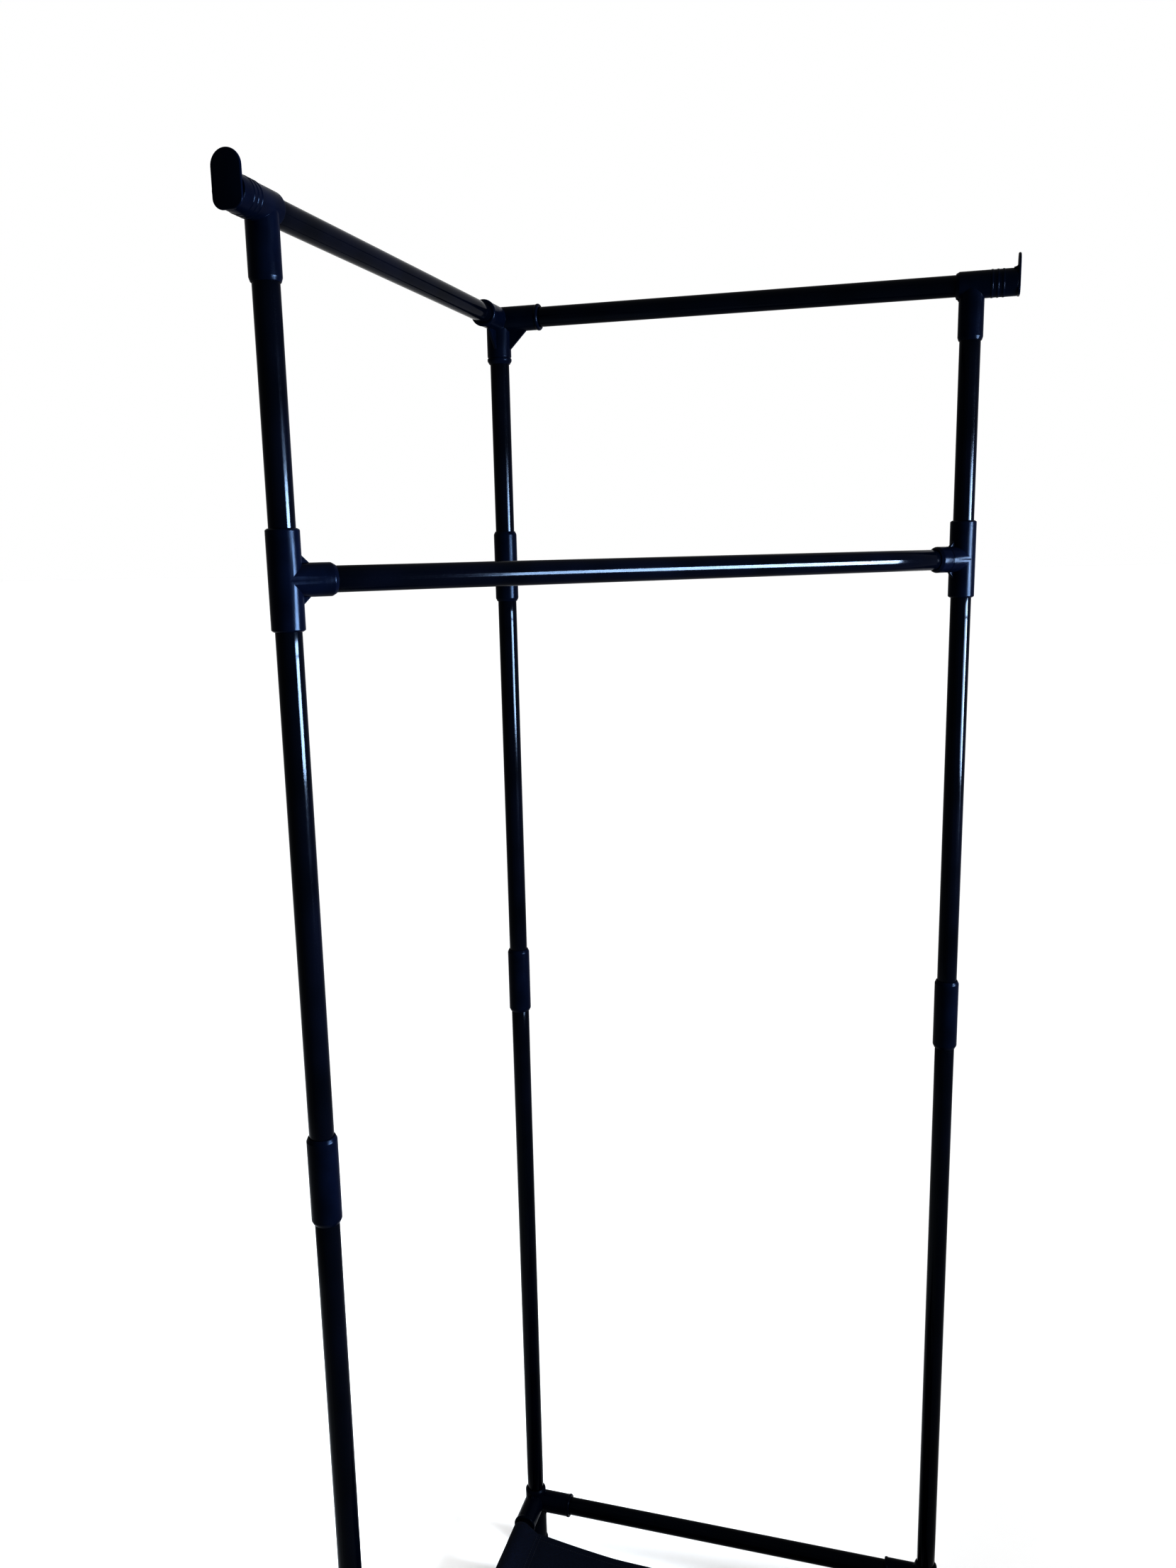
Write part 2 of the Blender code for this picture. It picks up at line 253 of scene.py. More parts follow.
def enamel():
    """Glossy black stoved enamel on tube: orange peel, a weld line, fine rubs."""
    mat, tree, shader = new_material("enamel_black_gloss")
    coords = node(tree, "ShaderNodeTexCoord").outputs["Object"]
    parts = node(tree, "ShaderNodeSeparateXYZ", Vector=coords).outputs
    cloud = noise_of(tree, coords, 14.0, 2.0)
    peel = noise_of(tree, coords, 520.0, 2.0, (1, 1, 0.45))
    wave = noise_of(tree, coords, 60.0, 1.0, (1, 1, 0.15))
    rubs = noise_of(tree, coords, 900.0, 3.0, (1, 1, 0.02))
    dust = noise_of(tree, coords, 2600.0, 1.0)
    seam = ramp(tree, math_node(tree, "ABSOLUTE", parts[0]), 0.0, 0.0007, 1.0, 0.0)
    seam = math_node(tree, "MULTIPLY", seam, ramp(tree, parts[1], 0.0090, 0.0100, 0.0, 1.0))
    colour = mix_colours(tree, ramp(tree, cloud, 0.35, 0.65, 0.0, 1.0),
                         (0.0001, 0.0003, 0.0010), (0.0003, 0.0006, 0.0020))
    specks = ramp(tree, dust, 0.70, 0.78, 0.0, 0.35)
    colour = mix_colours(tree, specks, colour, (0.0060, 0.0065, 0.0090))
    rough = ramp(tree, rubs, 0.35, 0.75, 0.07, 0.15)
    rough = math_node(tree, "ADD", rough, ramp(tree, cloud, 0.3, 0.7, -0.02, 0.05))
    rough = math_node(tree, "ADD", rough, ramp(tree, dust, 0.66, 0.80, 0.0, 0.25))
    surface(tree, shader, colour, rough, IOR=1.50, Specular_IOR_Level=0.040,
            Specular_Tint=(0.62, 0.78, 1.0))
    bumps(tree, shader, [(wave, 0.10, 0.0010), (peel, 0.06, 0.0004), (seam, 0.5, 0.00015)])
    return mat


def moulded(name, dark, light, rough, grain, rounding):
    """Injection-moulded plastic: spark-eroded grain, flow marks, rubbed edges."""
    mat, tree, shader = new_material(name)
    coords = node(tree, "ShaderNodeTexCoord").outputs["Object"]
    cloud = noise_of(tree, coords, 45.0, 3.0)
    flow = noise_of(tree, coords, 160.0, 2.0, (1, 1, 0.25))
    fine = noise_of(tree, coords, grain, 2.0)
    pits = node(tree, "ShaderNodeTexVoronoi", Vector=coords, Scale=grain * 0.7)
    edge = node(tree, "ShaderNodeNewGeometry").outputs["Pointiness"]
    worn = ramp(tree, edge, 0.53, 0.60, 0.0, 0.55)
    worn = math_node(tree, "MULTIPLY", worn, ramp(tree, cloud, 0.35, 0.60, 0.2, 1.0))
    colour = mix_colours(tree, ramp(tree, cloud, 0.3, 0.7, 0.0, 1.0), dark, light)
    colour = mix_colours(tree, worn, colour, tuple(4 * c for c in light))
    value = ramp(tree, flow, 0.3, 0.7, rough - 0.05, rough + 0.06)
    value = math_node(tree, "ADD", value, ramp(tree, fine, 0.4, 0.7, 0.0, 0.06))
    surface(tree, shader, colour, value, IOR=1.50, Specular_IOR_Level=0.028,
            Specular_Tint=(0.50, 0.70, 1.0))
    bumps(tree, shader, [(pits.outputs["Distance"], 0.10, 0.0002), (fine, 0.14, 0.0003),
                         (flow, 0.05, 0.0006)], rounding)
    return mat


def non_woven():
    """Spun-bonded cloth: rows of small bonded dimples over a mat of fibres."""
    mat, tree, shader = new_material("shelf_non_woven")
    coords = node(tree, "ShaderNodeTexCoord").outputs["UV"]
    parts = node(tree, "ShaderNodeSeparateXYZ", Vector=coords).outputs
    pitch = 0.0026
    row = math_node(tree, "DIVIDE", parts[1], pitch * 0.5)
    odd = math_node(tree, "MULTIPLY", math_node(tree, "FLOORED_MODULO",
                    math_node(tree, "FLOOR", row), 2.0), 0.5)
    across = math_node(tree, "ADD", math_node(tree, "DIVIDE", parts[0], pitch), odd)
    du = math_node(tree, "SUBTRACT", math_node(tree, "FRACT", across), 0.5)
    dv = math_node(tree, "SUBTRACT", math_node(tree, "FRACT", row), 0.5)
    du = math_node(tree, "MULTIPLY", math_node(tree, "ABSOLUTE", du), 1.9)
    dv = math_node(tree, "MULTIPLY", math_node(tree, "ABSOLUTE", dv), 1.5)
    dimple = ramp(tree, math_node(tree, "ADD", du, dv), 0.34, 0.60, 0.0, 1.0)
    fibres = noise_of(tree, coords, 1500.0, 4.0, (1, 0.14, 1))
    strands = noise_of(tree, coords, 1300.0, 4.0, (0.16, 1, 1))
    felt = math_node(tree, "ADD", fibres, strands)
    cloud = noise_of(tree, coords, 22.0, 4.0)
    crease = noise_of(tree, coords, 9.0, 2.0)
    colour = mix_colours(tree, ramp(tree, felt, 0.75, 1.25, 0.0, 1.0),
                         (0.0004, 0.0010, 0.0036), (0.0028, 0.0056, 0.0150))
    colour = mix_colours(tree, ramp(tree, cloud, 0.3, 0.7, 0.0, 0.6), colour,
                         (0.0008, 0.0018, 0.0058))
    pressed = math_node(tree, "MULTIPLY", math_node(tree, "SUBTRACT", 1.0, dimple), 0.55)
    colour = mix_colours(tree, pressed, colour, (0.0004, 0.0008, 0.0022))
    surface(tree, shader, colour, ramp(tree, dimple, 0.0, 1.0, 0.52, 0.86),
            Specular_IOR_Level=0.05, Sheen_Weight=0.008, Sheen_Roughness=0.45,
            Sheen_Tint=(0.45, 0.55, 0.9))
    bumps(tree, shader, [(crease, 0.35, 0.006), (felt, 0.35, 0.0003), (dimple, 0.8, 0.00035)])
    return mat


def thread():
    """Twisted polyester sewing thread."""
    mat, tree, shader = new_material("sewing_thread")
    coords = node(tree, "ShaderNodeTexCoord").outputs["Object"]
    wave = node(tree, "ShaderNodeTexWave", Vector=coords, Scale=900.0, Distortion=2.0)
    twist = wave.outputs["Fac"]
    colour = mix_colours(tree, twist, (0.0040, 0.0050, 0.0080), (0.0110, 0.0130, 0.0200))
    surface(tree, shader, colour, ramp(tree, twist, 0, 1, 0.5, 0.65),
            Specular_IOR_Level=0.15)
    bumps(tree, shader, [(twist, 0.4, 0.0002)])
    return mat


def pale_floor():
    """Plain matt white, faintly clouded."""
    mat, tree, shader = new_material("pale_floor")
    coords = node(tree, "ShaderNodeTexCoord").outputs["Object"]
    cloud = noise_of(tree, coords, 1.5, 3.0)
    colour = mix_colours(tree, cloud, (0.90, 0.90, 0.90), (0.94, 0.94, 0.94))
    surface(tree, shader, colour, 0.85)
    return mat


# ---------------------------------------------------------------- modelling

def rounded(profile, size=0.0006):
    """Round the corners of a turned profile, ends left as they are."""
    out = [profile[0]]
    for before, here, after in zip(profile, profile[1:], profile[2:]):
        a, b, c = Vector(before), Vector(here), Vector(after)
        cut = min(size, (a - b).length * 0.45, (c - b).length * 0.45)
        start = b + (a - b).normalized() * cut
        end = b + (c - b).normalized() * cut
        for i in range(CORNER_STEPS + 1):
            t = i / CORNER_STEPS
            point = start * (1 - t) ** 2 + b * 2 * t * (1 - t) + end * t ** 2
            out.append((point.x, point.y))
    out.append(profile[-1])
    return out


def spun(name, profile, at, along, closed=False, steps=ROUND_STEPS, roll=0.0):
    """Turn a profile of (radius, distance) pairs about an axis."""
    mesh = bpy.data.meshes.new(name)
    verts = [(r, 0, s) for r, s in profile]
    edges = [(i, i + 1) for i in range(len(verts) - 1)]
    if closed:
        edges.append((len(verts) - 1, 0))
    mesh.from_pydata(verts, edges, [])
    obj = placed(name, mesh, at)
    spin = Quaternion(Z, roll * 2 * math.pi / steps)
    obj.rotation_euler = (along.to_track_quat("Z", "Y") @ spin).to_euler()
    screw = obj.modifiers.new("turn", "SCREW")
    screw.axis = "Z"
    screw.steps = steps
    screw.render_steps = steps
    screw.use_merge_vertices = True
    screw.merge_threshold = 0.00001
    screw.use_smooth_shade = True
    return obj


def plate(name, outline, at, across, up, thickness, edge=0.0):
    """Extrude a flat outline of (across, up) pairs, its edges softened."""
    normal = across.cross(up)
    bm = bmesh.new()
    verts = [bm.verts.new(at + across * a + up * b - normal * thickness / 2)
             for a, b in outline]
    face = bm.faces.new(verts)
    grown = bmesh.ops.extrude_face_region(bm, geom=[face])
    moved = [v for v in grown["geom"] if isinstance(v, bmesh.types.BMVert)]
    bmesh.ops.translate(bm, vec=normal * thickness, verts=moved)
    bmesh.ops.recalc_face_normals(bm, faces=bm.faces)
    mesh = bpy.data.meshes.new(name)
    bm.to_mesh(mesh)
    bm.free()
    obj = placed(name, mesh)
    if edge:
        bevel = obj.modifiers.new("soft_edge", "BEVEL")
        bevel.width = edge
        bevel.segments = 3
        bevel.limit_method = "ANGLE"
        bevel.angle_limit = EDGE_SHARP
    return obj


def solidified(obj):
    """The object's modifiers and placing baked into a plain mesh."""
    bpy.context.view_layer.update()
    graph = bpy.context.evaluated_depsgraph_get()
    made = bpy.data.meshes.new_from_object(obj.evaluated_get(graph))
    made.transform(obj.matrix_world)
    return made


def merged(name, solids, bores, anchor):
    """Join solids, cut the bores, and leave one plain mesh with its origin at anchor."""
    body = solids[0]
    for i, other in enumerate(solids[1:] + bores):
        step = body.modifiers.new("step", "BOOLEAN")
        step.object = other
        step.solver = "EXACT"
        step.operation = "UNION" if i < len(solids) - 1 else "DIFFERENCE"
    mesh = solidified(body)
    for tool in solids + bores:
        bpy.data.objects.remove(tool, do_unlink=True)
    mesh.transform(Matrix.Translation(-anchor))
    mesh.name = name
    mesh.shade_smooth()
    mesh.set_sharp_from_angle(angle=MOULD_SHARP)
    return placed(name, mesh, anchor)


def dress(obj, mat, slot, *nodes):
    """Give a finished piece its material and its body, and hide the CAD nodes it stands for.
    """
    obj.data.materials.clear()
    obj.data.materials.append(mat)
    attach(obj, "root")
    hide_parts(*nodes)
    return obj


def web(name, at, leg_a, leg_b, reach, curved):
    """Flat web in the corner between two legs, its free edge straight or hollow."""
    root = SLEEVE_R - EMBED
    outline = [(root, root), (reach, root)]
    if curved:
        radius = reach - SLEEVE_R + EMBED / 4
        for turn in arc(0, 11.25, 9):
            outline.append((reach - radius * math.sin(turn), reach - radius * math.cos(turn)))
    outline.append((root, reach))
    return plate(name, outline, at, leg_a, leg_b, WEB, 0.0005)


def leg(name, length, mouth, at, along, roll=0.0, start=0.0, radius=SLEEVE_R):
    """Sleeve round one socket.

    The mouth has a raised bead, a chamfer with a shallow groove behind it, a chamfer
    with a faint ring further back, or a chamfer alone.
    """
    lip = TUBE_R + LIP
    if mouth == "bead":
        tip = [(TUBE_R + 0.0006, length), (radius - 0.0004, length),
               (RIM_R, length - 0.0012), (RIM_R, length - 0.0030), (radius, length - 0.0042)]
    elif mouth == "groove":
        tip = [(lip, length), (radius + 0.0002, length - CHAMFER),
               (radius + 0.0002, length - 0.0062), (radius - 0.0007, length - 0.0067),
               (radius - 0.0007, length - 0.0077), (radius, length - 0.0082)]
    elif mouth == "ring":
        tip = [(lip, length), (radius, length - CHAMFER),
               (radius, length - 0.0150), (radius - 0.0004, length - 0.0154),
               (radius - 0.0004, length - 0.0166), (radius, length - 0.0170)]
    else:
        tip = [(lip, length), (radius, length - CHAMFER)]
    profile = rounded([(0, length)] + tip + [(radius, start), (0, start)])
    return spun(name, profile, at, along, roll=roll)


def bore(at, along, near, far):
    """Cutter for a tube's socket between two distances along a leg."""
    radius = TUBE_R + FIT
    profile = [(0, far), (radius, far), (radius, near), (0, near)]
    return spun("bore", profile, at, along)


def sleeve(name, at, radius, chamfer):
    """Outside of a straight coupler with its chamfered ends."""
    half = COUPLER_HALF
    lip = TUBE_R + LIP
    profile = [(0, half), (lip, half), (radius, half - chamfer)]
    profile += [(radius, chamfer - half), (lip, -half), (0, -half)]
    return spun(name, rounded(profile), at, Z, roll=0.25)


def through_sockets(at):
    """Cutters for the two posts' ends inside a coupler."""
    wall = STOP_WALL / 2
    far = COUPLER_HALF + OVERSHOOT
    return [bore(at, Z, wall, far), bore(at, -Z, wall, far)]


# ---------------------------------------------------------------- rigid pieces

def make_tube(name, mat):
    """Steel tube with softened ends, along its CAD node's axis."""
    low, high = box_of(name)
    size = high - low
    centre = (low + high) / 2
    long = max(size)
    if size.x > 0.1 and size.y > 0.1:
        along = Vector((1, 1, 0)).normalized()
        long = (size.x - 2 * TUBE_R * math.cos(math.pi / 4)) / along.x
    else:
        along = (X, Y, Z)[list(size).index(long)]
    inner = TUBE_R - TUBE_WALL
    half = long / 2
    profile = [(TUBE_R - TUBE_EASE, half), (TUBE_R, half - TUBE_EASE)]
    profile += [(TUBE_R, half - long * i / TUBE_SPANS) for i in range(1, TUBE_SPANS)]
    profile += [(TUBE_R, TUBE_EASE - half), (TUBE_R - TUBE_EASE, -half)]
    profile += [(inner, -half), (inner, half)]
    obj = spun(name + "_tube", profile, (0, 0, 0), Z, closed=True, steps=TUBE_STEPS)
    mesh = solidified(obj)
    bpy.data.objects.remove(obj, do_unlink=True)
    mesh.shade_smooth()
    mesh.set_sharp_from_angle(angle=EDGE_SHARP)
    tube = placed(name + "_tube", mesh, centre)
    tube.rotation_euler = along.to_track_quat("Z", "Y").to_euler()
    return dress(tube, mat, "black_enamel", name)


def make_coupler(name, mat):
    """Straight sleeve between two lengths of a post."""
    at = middle(name)
    body = sleeve(name, at, COUPLER_R, CHAMFER)
    obj = merged(name + "_moulding", [body], through_sockets(at), at)
    return dress(obj, mat, "black_moulding", name)


def make_tee(name, branch, mouth, mat):
    """Coupler with a side branch and its two small webs."""
    low, high = box_of(name)
    x = low.x + SLEEVE_R if branch.x > 0 else high.x - SLEEVE_R
    y = low.y + SLEEVE_R if branch.y > 0 else high.y - SLEEVE_R
    at = Vector((x, y, (low.z + high.z) / 2))
    reach = SLEEVE_R + TEE_WEB
    solids = [sleeve(name, at, SLEEVE_R, TEE_CHAMFER)]
    solids.append(leg("branch", BRANCH_LEG, mouth, at, branch))
    solids.append(web("web", at, branch, Z, reach, False))
    solids.append(web("web", at, branch, -Z, reach, False))
    sockets = through_sockets(at) + [bore(at, branch, STOP, BRANCH_LEG + OVERSHOOT)]
    obj = merged(name + "_moulding", solids, sockets, at)
    return dress(obj, mat, "black_moulding", name)


def make_top_corner(name, at, mat):
    """Three-way corner with a flat web under each rail leg."""
    down = leg("down", CORNER_DOWN, "groove", at, -Z, start=-0.0060)
    brow = SLEEVE_R - 0.0001
    crown = [(0, 0.0112), (0.0100, 0.0112), (brow, 0.0050), (brow, 0), (0, 0)]
    solids = [down, spun("crown", rounded(crown, 0.002), at, Z, roll=0.5)]
    sockets = [bore(at, -Z, STOP, CORNER_DOWN + OVERSHOOT)]
    for along, roll in ((X, 0.25), (-Y, 0.5)):
        solids.append(leg("rail", RAIL_LEG, "bead", at, along, roll))
        solids.append(web("web", at, along, -Z, CORNER_WEB, False))
        sockets.append(bore(at, along, STOP, RAIL_LEG + OVERSHOOT))
    obj = merged(name + "_moulding", solids, sockets, at)
    return dress(obj, mat, "black_moulding", name)


def make_end_connector(name, at, out, mat):
    """Ribbed closed socket with an upright end plate, over a post socket."""
    profile = [(0, END_OUTER), (SLEEVE_R, END_OUTER)]
    for centre in reversed(GRIP_RIBS):
        profile.append((SLEEVE_R, centre + 0.0012))
        profile.append((GRIP_R, centre + 0.0008))
        profile.append((GRIP_R, centre - 0.0008))
        profile.append((SLEEVE_R, centre - 0.0012))
    profile += [(SLEEVE_R, CHAMFER - END_INNER), (TUBE_R + LIP, -END_INNER), (0, -END_INNER)]
    solids = [spun(name, rounded(profile, FINE), at, out)]
    solids.append(leg("down", DOWN_LEG, "plain", at, -Z, 0.25, radius=END_LEG_R))
    half = PLATE_W / 2
    corner = PLATE_CORNER
    outline = [(half * math.cos(turn), PLATE_TOP - half + half * math.sin(turn))
               for turn in arc(0, 7.5, 25)]
    for cx, start in ((corner - half, 180), (half - corner, 270)):
        for turn in arc(start, 10, 10):
            outline.append((cx + corner * math.cos(turn),
                            corner - SLEEVE_R + corner * math.sin(turn)))
    centre = at + out * (END_OUTER + PLATE_T / 2 - 0.0001)
    solids.append(plate("plate", outline, centre, out.cross(Z), Z, PLATE_T + 0.0002,
                        PLATE_EDGE))
    solids.append(web("web", at, -out, -Z, SLEEVE_R + END_WEB, True))
    floor = SLEEVE_R - 0.0002
    fillet = [(FILLET_FOOT, SLEEVE_R - EMBED), (FILLET_FOOT, floor)]
    for turn in arc(0, 15, 7):
        fillet.append((FILLET_FOOT + 0.0044 * math.sin(turn),
                       floor + FILLET * (1 - math.cos(turn))))
    fillet.append((END_OUTER + 0.001, SLEEVE_R + FILLET - 0.0002))
    fillet.append((END_OUTER + 0.001, SLEEVE_R - EMBED))
    solids.append(plate("fillet", fillet, at, out, Z, FILLET_W))
    sockets = [bore(at, out, -END_INNER - OVERSHOOT, END_OUTER - 0.0050)]
    sockets.append(bore(at, -Z, STOP, DOWN_LEG + OVERSHOOT))
    obj = merged(name + "_moulding", solids, sockets, at)
    return dress(obj, mat, "black_moulding", name)


def make_base_connector(name, at, legs, mat):
    """Corner of the base: short collar up, long socket down, two rail legs."""
    lip = TUBE_R + LIP
    profile = [(0, BASE_UP), (lip, BASE_UP), (SLEEVE_R, BASE_UP - BASE_CHAMFER)]
    profile += [(SLEEVE_R, 0.0010 - DOWN_LEG), (SLEEVE_R - 0.0010, -DOWN_LEG), (0, -DOWN_LEG)]
    solids = [spun(name, rounded(profile), at, Z)]
    sockets = [bore(at, Z, -BASE_FLOOR, BASE_UP + OVERSHOOT)]
    sockets.append(bore(at, -Z, BASE_FLOOR + STOP_WALL, DOWN_LEG + OVERSHOOT))
    for i, along in enumerate(legs):
        solids.append(leg("rail", RAIL_LEG, "bead", at, along, 0.25 * (i + 1)))
        solids.append(web("web_down", at, along, -Z, SLEEVE_R + BASE_WEB_DOWN, True))
        solids.append(web("web_up", at, along, Z, SLEEVE_R + BASE_WEB_UP, True))
        sockets.append(bore(at, along, STOP, RAIL_LEG + OVERSHOOT))
    obj = merged(name + "_moulding", solids, sockets, at)
    return dress(obj, mat, "black_moulding", name)


def make_foot(name, mat):
    """Foot with a plug above, a flared shoulder, two grooves and a ringed tread."""
    low, high = box_of(name)
    at = Vector(((low.x + high.x) / 2, (low.y + high.y) / 2, low.z))
    top = FOOT_H - FIT
    peak = top + SPIGOT
    profile = [(0, peak), (TUBE_R - 0.0012, peak), (TUBE_R, peak - 0.0015),
               (TUBE_R, top), (SLEEVE_R, top), (FOOT_R, top - 0.0050)]
    for ring in (0.0095, 0.0065):
        profile += [(FOOT_R, ring + 0.0008), (FOOT_R - 0.0007, ring + 0.0004),
                    (FOOT_R - 0.0007, ring - 0.0004), (FOOT_R, ring - 0.0008)]
    profile += [(FOOT_R, 0.0020), (FOOT_R - 0.0016, 0), (0.0100, 0), (0.0092, 0.0010),
                (0.0045, 0.0010), (0.0040, 0), (0, 0)]
    obj = merged(name + "_moulding", [spun(name, rounded(profile, FINE), at, Z)], [], at)
    return dress(obj, mat, "foot_plastic", name)


def make_plug(name, mat):
    """Domed plug with three ribs round its spigot."""
    low, high = box_of(name)
    at = Vector(((low.x + high.x) / 2, (low.y + high.y) / 2, low.z + SPIGOT))
    profile = [(0, 0.0042), (0.0035, 0.0040), (0.0062, 0.0036), (0.0092, 0.0028),
               (0.0112, 0.0017), (0.0126, FIT + 0.0003), (0.0124, FIT), (TUBE_R, FIT)]
    for i in range(3):
        ring = -0.003 - 0.003 * i
        profile += [(TUBE_R - 0.0005, ring + 0.0010), (TUBE_R, ring),
                    (TUBE_R - 0.0005, ring - 0.0010)]
    profile += [(TUBE_R - 0.0010, -SPIGOT), (0, -SPIGOT)]
    obj = merged(name + "_moulding", [spun(name, rounded(profile, FINE), at, Z)], [], at)
    return dress(obj, mat, "foot_plastic", name)


# ---------------------------------------------------------------- fabric shelf

def sleeve_path(rail, seam, radius, side):
    """Cloth round one rail, from the seam's lower layer to its upper layer.

    Points are (x, z). side is 1 where the panel lies at +X of the rail.
    """
    across = (seam[0] - rail[0]) * side
    rise = seam[1] - rail[1]
    reach = math.hypot(across, rise)
    lean = math.atan2(rise, across)
    open_angle = math.acos(radius / reach)
    first = lean - open_angle + 2 * math.pi
    last = lean + open_angle
    points = []
    for i in range(SLEEVE_COLUMNS + 1):
        turn = first + (last - first) * i / SLEEVE_COLUMNS
        points.append((rail[0] + side * radius * math.cos(turn),
                       rail[1] + radius * math.sin(turn)))
    return points


def line(start, end, count):
    """Points from start to end, both ends left out."""
    out = []
    for i in range(1, count):
        t = i / count
        out.append((start[0] + (end[0] - start[0]) * t, start[1] + (end[1] - start[1]) * t))
    return out


def shelf_outline(left, right, height):
    """The sheet's section as (x, z, free) points, free where the panel hangs."""
    span = right - left
    middle_x = (left + right) / 2
    radius = TUBE_R + CLOTH_T

    def hang(x):
        return height - CLOTH_SAG * (1 - (2 * (x - middle_x) / span) ** 2)

    seam_l = (left + SEAM_OUT, hang(left + SEAM_OUT))
    seam_r = (right - SEAM_OUT, hang(right - SEAM_OUT))
    flap_l = (seam_l[0] + SEAM_LAP, hang(seam_l[0] + SEAM_LAP) - LAYER)
    flap_r = (seam_r[0] - SEAM_LAP, hang(seam_r[0] - SEAM_LAP) - LAYER)
    low_l = (seam_l[0], seam_l[1] - LAYER)
    low_r = (seam_r[0], seam_r[1] - LAYER)
    ring_l = sleeve_path((left, height), seam_l, radius, 1)
    ring_r = sleeve_path((right, height), seam_r, radius, -1)
    fixed = [flap_l] + line(flap_l, low_l, 3) + [low_l] + line(low_l, ring_l[0], 4)
    fixed += ring_l + line(ring_l[-1], seam_l, 4) + [seam_l]
    path = [(x, z, 0) for x, z in fixed]
    for i in range(1, PANEL_COLUMNS):
        x = seam_l[0] + (seam_r[0] - seam_l[0]) * i / PANEL_COLUMNS
        path.append((x, hang(x), 1))
    ring_r.reverse()
    fixed = [seam_r] + line(seam_r, ring_r[0], 4) + ring_r + line(ring_r[-1], low_r, 4)
    fixed += [low_r] + line(low_r, flap_r, 3) + [flap_r]
    return path + [(x, z, 0) for x, z in fixed]


def row_places(depth):
    """Rows across the sheet: close together in the hems, even between them."""
    hem = HEM_ROWS[-1]
    rows = list(HEM_ROWS)
    rows += [hem + (depth - 2 * hem) * i / PANEL_ROWS for i in range(1, PANEL_ROWS)]
    return rows + [depth - h for h in reversed(HEM_ROWS)]


def grid_piece(name, verts, wide, cut, flipped=False):
    """A grid of points as a piece, its UVs the cut cloth's own metres."""
    faces = []
    for a in range(len(verts) - wide):
        if a % wide < wide - 1:
            quad = (a, a + 1, a + wide + 1, a + wide)
            faces.append(quad[::-1] if flipped else quad)
    mesh = bpy.data.meshes.new(name)
    mesh.from_pydata(verts, [], faces)
    uv = mesh.uv_layers.new(name="cut")
    for loop in mesh.loops:
        uv.data[loop.index].uv = cut(*divmod(loop.vertex_index, wide))
    return placed(name, mesh)


def thicken(obj, thickness):
    """Give a sheet its thickness, half to each side."""
    thick = obj.modifiers.new("thickness", "SOLIDIFY")
    thick.thickness = thickness
    thick.offset = 0.0


def cloth_sheet(name, path, rows, front):
    """Flat-cut sheet laid along its section, as a grid with its cut size as UVs."""
    lengths = [0.0]
    for a, b in zip(path, path[1:]):
        lengths.append(lengths[-1] + math.hypot(b[0] - a[0], b[1] - a[1]))
    verts = []
    for x, z, free in path:
        for t in rows:
            ripple = noise.noise(Vector((x * 9, t * 11, 3.7))) * 0.0022
            ripple += noise.noise(Vector((x * 34, t * 30, 9.1))) * 0.0006
            fold = 0.0
            for crease in (0.31, 0.66):
                away = abs(t - rows[-1] * crease)
                fold += 0.0016 * max(0.0, 1 - away / 0.020)
            away = abs(x - (path[0][0] + path[-1][0]) / 2)
            fold -= 0.0018 * max(0.0, 1 - away / 0.024)
            verts.append((x, front + t, z + (ripple + fold) * free))
    obj = grid_piece(name, verts, len(rows), lambda i, j: (lengths[i], rows[j]))
    return obj, lengths[-1]


def hang_cloth(obj, path, rows):
    """Let the panel settle between its pinned sleeves, and keep the result."""
    wide = len(rows)
    pins = obj.vertex_groups.new(name="pinned")
    held = [i * wide + j for i, p in enumerate(path) for j in range(wide) if not p[2]]
    pins.add(held, 1.0, "REPLACE")
    start = [v.co.copy() for v in obj.data.vertices]
    cloth = obj.modifiers.new("settle", "CLOTH")
    for key, value in SETTLE.items():
        setattr(cloth.settings, key, value)
    cloth.settings.vertex_group_mass = pins.name
    cloth.collision_settings.use_collision = False
    scene = bpy.context.scene
    for frame_number in range(1, SETTLE_FRAMES + 1):
        scene.frame_set(frame_number)
    graph = bpy.context.evaluated_depsgraph_get()
    settled = [v.co.copy() for v in obj.evaluated_get(graph).data.vertices]
    obj.modifiers.remove(cloth)
    scene.frame_set(1)
    for vert, was, now in zip(obj.data.vertices, start, settled):
        move = now - was
        if move.length > SETTLE_CAP:
            move = move.normalized() * SETTLE_CAP
        vert.co = was + move


def grid_normal(spots, wide, i, j):
    """Upper-side normal of a settled grid at one of its points."""
    last = len(spots) // wide - 1
    a = spots[max(i - 1, 0) * wide + j]
    b = spots[min(i + 1, last) * wide + j]
    c = spots[i * wide + max(j - 1, 0)]
    d = spots[i * wide + min(j + 1, wide - 1)]
    return (b - a).cross(d - c).normalized()


def make_hem(name, spots, wide, columns, edge_rows, mat):
    """Turned-under hem along one free edge of the panel."""
    verts = []
    outward = -1 if edge_rows[0] == 0 else 1
    for i in columns:
        line_points = []
        for j in reversed(edge_rows):
            n = grid_normal(spots, wide, i, j)
            line_points.append(spots[i * wide + j] - n * 0.0013)
        edge = spots[i * wide + edge_rows[0]]
        n = grid_normal(spots, wide, i, edge_rows[0])
        line_points.append(edge - n * 0.0011 + Y * outward * 0.0006)
        line_points.append(edge - n * 0.0006 + Y * outward * 0.0010)
        line_points.append(edge + Y * outward * 0.0006)
        verts += line_points
    per = len(edge_rows) + 3
    obj = grid_piece(name, verts, per, lambda i, j: (verts[i * per].x, j * HEM_ROWS[1]),
                     flipped=outward < 0)
    thicken(obj, 0.0009)
    obj.data.shade_smooth()
    obj.data.materials.append(mat)
    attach(obj, "root")
    return obj


